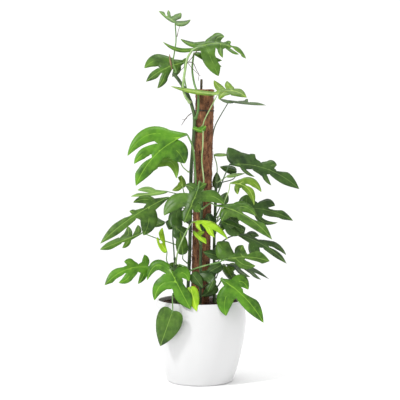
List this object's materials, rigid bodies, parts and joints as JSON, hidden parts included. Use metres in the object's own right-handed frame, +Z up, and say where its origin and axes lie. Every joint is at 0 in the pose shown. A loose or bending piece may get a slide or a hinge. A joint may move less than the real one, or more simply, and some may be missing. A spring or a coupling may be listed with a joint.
{
  "type": "potted monstera plant",
  "caption": "Climbing monstera with deeply lobed leaves on a coir pole, rooted in soil in a round white pot with a curved wall.",
  "frame": {"origin": "centre of the pot's flat underside, on the floor", "axes": "+Z up along the pot's axis and the climbing pole; +X to the right and -Y towards the viewer when the plant is seen from its front"},
  "size_m": [0.634, 0.321, 1.2065],
  "materials": {
    "white_pot": "satin",
    "potting_soil": "matte",
    "coir_fibre": "matte",
    "core_wood": "matte",
    "dark_tie": "matte",
    "stem_green": "matte",
    "root_brown": "matte",
    "leaf_mid": "satin",
    "leaf_olive": "satin",
    "leaf_dark": "satin",
    "leaf_fresh": "satin",
    "leaf_pale": "satin",
    "leaf_lime": "satin"
  },
  "bodies": {
    "root": {"pot": "white_pot", "soil": "potting_soil", "coir_pole": "coir_fibre", "pole_core": "core_wood", "pole_tie": "dark_tie", "stem_left": "stem_green", "stem_front": "stem_green", "stem_low_left": "stem_green", "stem_right": "stem_green", "stem_back": "stem_green", "root_upper": "root_brown", "root_low": "root_brown", "leaf_crown_young": "leaf_mid", "leaf_crown_left": "leaf_mid", "leaf_crown_right": "leaf_mid", "leaf_crown_under": "leaf_mid", "leaf_pole_top": "leaf_olive", "leaf_high_right": "leaf_dark", "leaf_big_left": "leaf_fresh", "leaf_light_left": "leaf_pale", "leaf_curly": "leaf_fresh", "leaf_right_high": "leaf_dark", "leaf_right_strip": "leaf_pale", "leaf_right_dark": "leaf_dark", "leaf_pole_side": "leaf_dark", "leaf_right_pale": "leaf_pale", "leaf_right_olive": "leaf_olive", "leaf_right_deep": "leaf_dark", "leaf_right_front": "leaf_mid", "leaf_right_shade": "leaf_dark", "leaf_centre": "leaf_mid", "leaf_olive_small": "leaf_olive", "leaf_left_strip": "leaf_pale", "leaf_mid_left": "leaf_mid", "leaf_dark_centre": "leaf_dark", "leaf_lime_centre": "leaf_lime", "leaf_right_mid": "leaf_dark", "leaf_left_behind": "leaf_dark", "leaf_centre_dark": "leaf_dark", "leaf_small_centre": "leaf_lime", "leaf_left_dark": "leaf_mid", "leaf_right_low": "leaf_dark", "leaf_yellow_left": "leaf_lime", "leaf_mid_green": "leaf_mid", "leaf_dark_low": "leaf_dark", "leaf_front_right": "leaf_mid", "leaf_dark_lower": "leaf_dark", "leaf_low_dark": "leaf_dark", "leaf_low_left": "leaf_fresh", "leaf_rim_left": "leaf_fresh", "leaf_small_low": "leaf_dark", "leaf_rim_right": "leaf_fresh", "leaf_low_grey": "leaf_dark", "leaf_rim_lime": "leaf_lime", "leaf_soil_dark": "leaf_dark", "leaf_rim_heart": "leaf_mid", "leaf_back_left": "leaf_dark", "leaf_back_right": "leaf_dark", "leaf_back_low_left": "leaf_mid", "leaf_back_low_right": "leaf_mid"}
  },
  "joints": []
}
